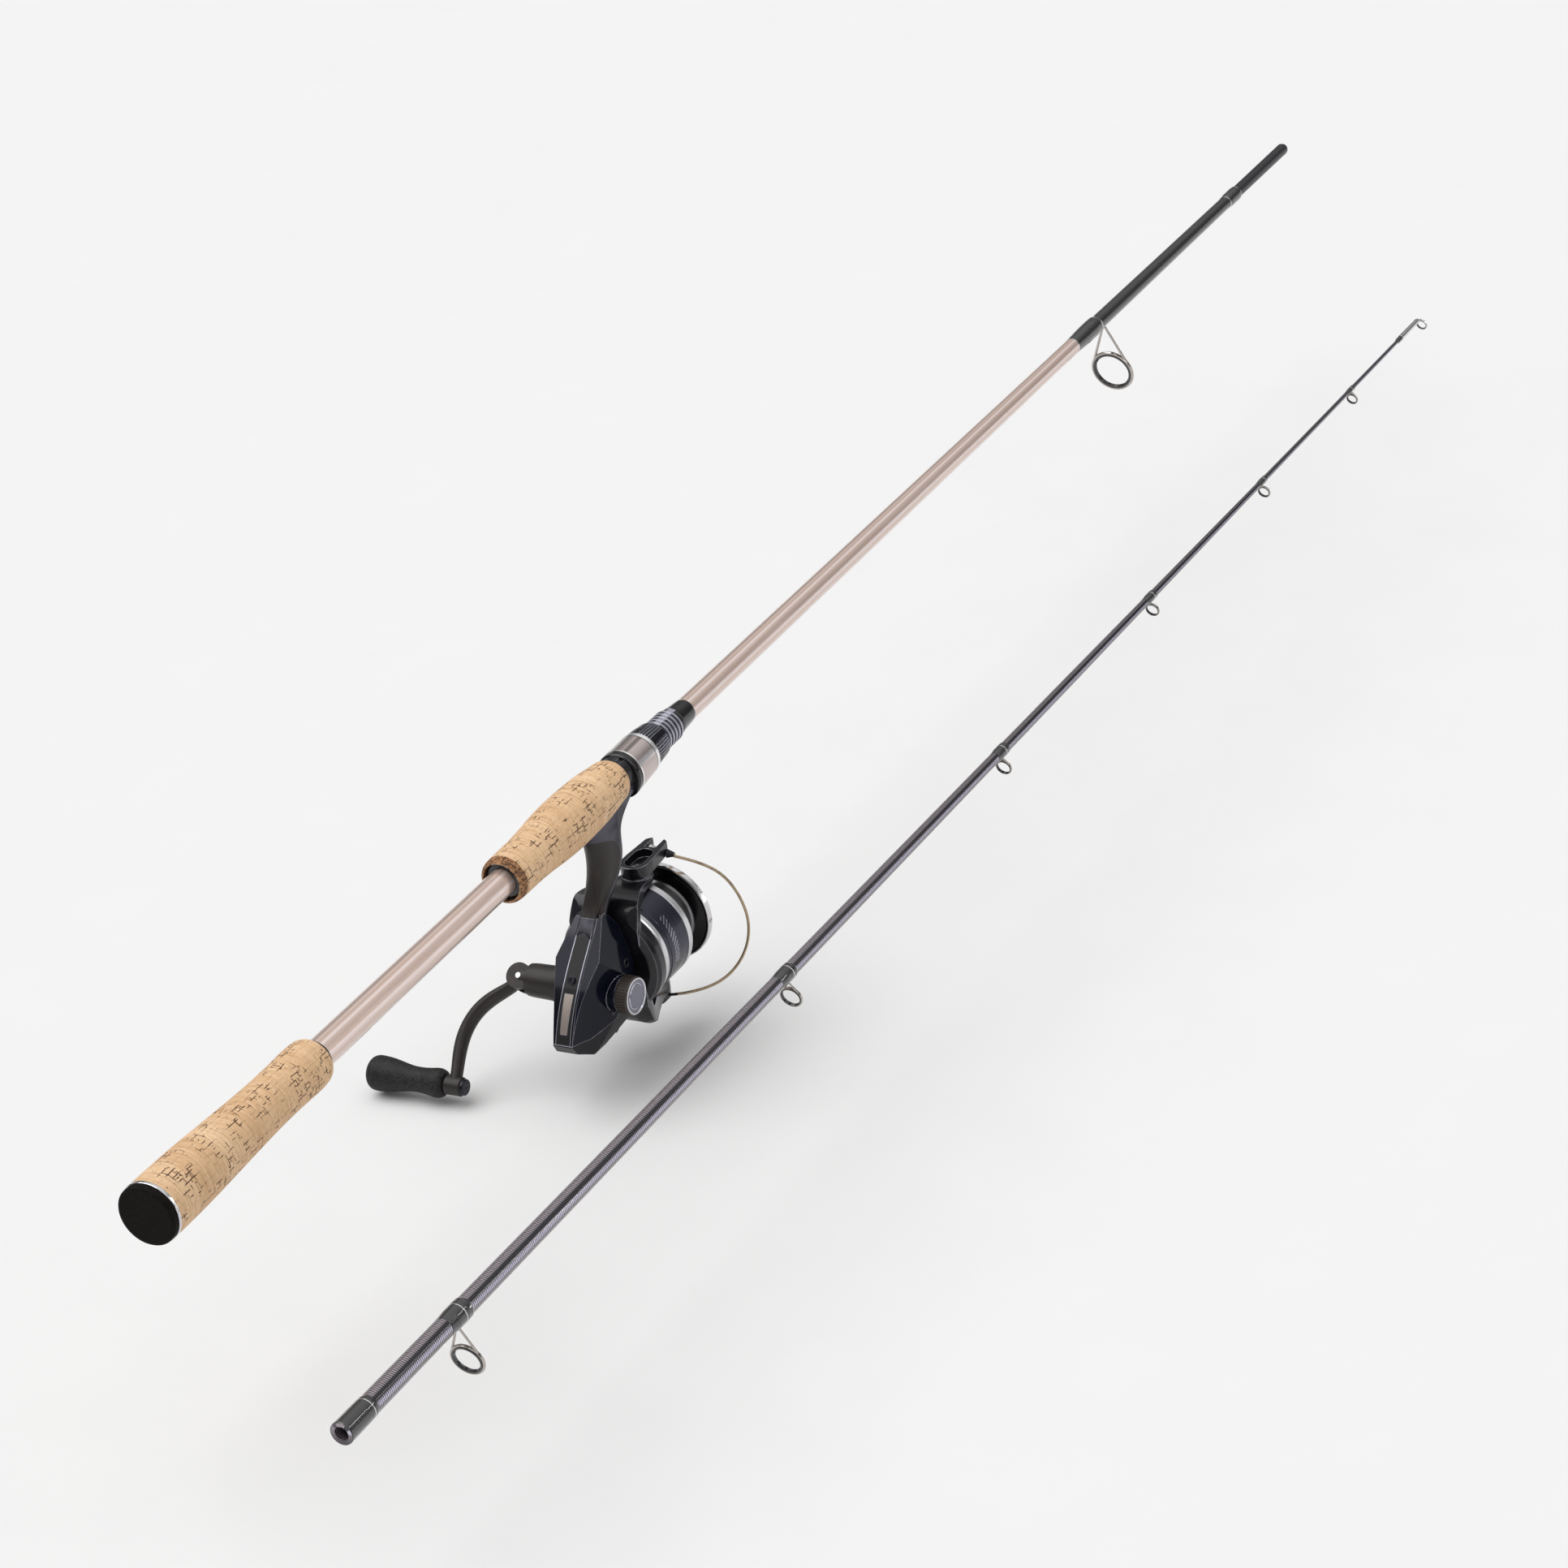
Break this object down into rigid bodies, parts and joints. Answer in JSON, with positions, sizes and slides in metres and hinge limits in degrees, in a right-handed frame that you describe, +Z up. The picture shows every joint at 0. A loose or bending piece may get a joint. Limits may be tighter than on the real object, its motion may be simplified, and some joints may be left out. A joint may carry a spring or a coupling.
{
  "type": "spinning rod",
  "caption": "Two-piece spinning rod with cork grips, ring guides and a front-drag spinning reel on a screw-locked seat, sections laid side by side.",
  "frame": {"origin": "centre of the butt cap's end face", "axes": "+X along the rod to the tip, +Y to the angler's left where the crank is, +Z up with the reel hanging below"},
  "size_m": [1.2225, 0.2467, 0.1513],
  "materials": {
    "champagne_blank": "gloss metallic lacquer over graphite",
    "carbon": "bare graphite",
    "black_rubber": "matt",
    "bright_metal": "polished",
    "cork": "natural cork",
    "black_gloss": "gloss",
    "black_satin": "satin",
    "champagne_metal": "polished and anodised",
    "dark_metal": "anodised, knurled",
    "thread_wrap": "varnished thread",
    "ceramic": "polished ceramic",
    "tip_finish": "gloss over ribbed tape",
    "body_metal": "metallic grey lacquer",
    "body_gloss": "gloss blue-black",
    "panel_brown": "matt brown-black",
    "steel": "machined",
    "brass": "machined",
    "rotor_black": "satin",
    "bronze_wire": "plated, bronze",
    "spool_metal": "anodised, polished bands"
  },
  "bodies": {
    "butt_section": {"butt_blank": "champagne_blank", "ferrule_spigot": "carbon", "butt_cap": "black_rubber", "butt_cap_ring": "bright_metal", "rear_grip": "cork", "rear_grip_check": "black_gloss", "fore_grip": "cork", "fore_grip_collar": "black_gloss", "reel_seat": "black_satin", "seat_check": "black_gloss", "hook_keeper": "bright_metal", "stripper_wrap": "thread_wrap", "stripper_frame": "champagne_metal", "stripper_ring": "ceramic", "ferrule_wrap": "thread_wrap", "reel_body": "body_metal", "stem_panel": "panel_brown", "side_cover": "body_gloss", "rear_cover": "black_satin", "spine_inlay": "champagne_metal", "body_screws": "steel", "handle_bearings": "steel", "rotor_bearing": "steel"},
    "hood": {"seat_hood": "black_gloss", "hood_band": "champagne_metal"},
    "lock_nut": {"seat_nut": "dark_metal"},
    "tip_section": {"tip_blank": "tip_finish", "socket_wrap": "thread_wrap", "guide_wraps": "thread_wrap", "guide_rings": "ceramic", "tip_top": "bright_metal", "tip_top_ring": "ceramic", "guide_frame_1": "bright_metal", "guide_frame_2": "bright_metal", "guide_frame_3": "bright_metal", "guide_frame_4": "bright_metal", "guide_frame_5": "bright_metal", "guide_frame_6": "bright_metal"},
    "crank": {"drive_gear": "brass", "handle_collar": "panel_brown", "handle_cap": "dark_metal", "crank_pin": "bright_metal"},
    "arm": {"crank_arm": "panel_brown", "knob_spindle": "dark_metal"},
    "knob": {"handle_knob": "black_rubber"},
    "rotor": {"rotor": "rotor_black", "pinion_gear": "brass", "rotor_nut": "steel"},
    "bail": {"bail_arm": "rotor_black", "bail_wire": "bronze_wire", "bail_lever": "rotor_black"},
    "roller": {"line_roller": "bright_metal"},
    "shaft": {"main_shaft": "steel", "oscillation_slider": "black_satin"},
    "spool": {"spool": "spool_metal", "spool_lip_ring": "bright_metal", "drag_washers": "steel"},
    "drag": {"drag_knob": "black_satin"},
    "oscillation": {"oscillation_gear": "brass"},
    "anti_reverse": {"anti_reverse_lever": "dark_metal"}
  },
  "joints": [
    {"name": "hood_slide", "type": "slide", "parent": "butt_section", "child": "hood", "axis": [1, 0, 0], "range_m": [0, 0.0112]},
    {"name": "nut_turn", "type": "hinge", "parent": "hood", "child": "lock_nut", "pos_m": [0.425, 0, 0], "axis": [1, 0, 0], "range_deg": [0, 1440]},
    {"name": "crank_turn", "type": "hinge", "parent": "butt_section", "child": "crank", "pos_m": [0.35, 0, -0.0884], "axis": [0, 1, 0], "continuous": true},
    {"name": "crank_fold", "type": "hinge", "parent": "crank", "child": "arm", "pos_m": [0.35, 0.0378, -0.0884], "axis": [-0.7254, 0, 0.6884], "range_deg": [0, 40]},
    {"name": "knob_spin", "type": "hinge", "parent": "arm", "child": "knob", "pos_m": [0.31214, 0.08, -0.1283], "axis": [0, 1, 0], "continuous": true},
    {"name": "rotor_spin", "type": "hinge", "parent": "butt_section", "child": "rotor", "pos_m": [0.37, 0, -0.0836], "axis": [1, 0, 0], "continuous": true},
    {"name": "oscillation_spin", "type": "hinge", "parent": "butt_section", "child": "oscillation", "pos_m": [0.344, 0.0068, -0.0804], "axis": [0, 1, 0], "continuous": true},
    {"name": "bail_open", "type": "hinge", "parent": "rotor", "child": "bail", "pos_m": [0.4, 0, -0.0836], "axis": [0, 0, 1], "range_deg": [0, 100]},
    {"name": "roller_spin", "type": "hinge", "parent": "bail", "child": "roller", "pos_m": [0.419, 0, -0.0527], "axis": [0, 1, 0], "continuous": true},
    {"name": "shaft_stroke", "type": "slide", "parent": "butt_section", "child": "shaft", "axis": [1, 0, 0], "range_m": [-0.0012, 0.006]},
    {"name": "spool_spin", "type": "hinge", "parent": "shaft", "child": "spool", "pos_m": [0.4, 0, -0.0836], "axis": [1, 0, 0], "continuous": true},
    {"name": "drag_turn", "type": "hinge", "parent": "shaft", "child": "drag", "pos_m": [0.425, 0, -0.0836], "axis": [1, 0, 0], "range_deg": [-720, 360]},
    {"name": "anti_reverse_switch", "type": "hinge", "parent": "butt_section", "child": "anti_reverse", "pos_m": [0.358, -0.002, -0.1085], "axis": [0, 0, 1], "range_deg": [-25, 25]},
    {"name": "tip_slide", "type": "slide", "parent": "butt_section", "child": "tip_section", "axis": [0.9946, 0.101, 0.0256], "range_m": [0, 1.3177]}
  ],
  "couplings": [
    {"joint": "hood_slide", "follows": "nut_turn", "m_per_rad": 0.00044563},
    {"joint": "rotor_spin", "follows": "crank_turn", "ratio": 5.2}
  ]
}
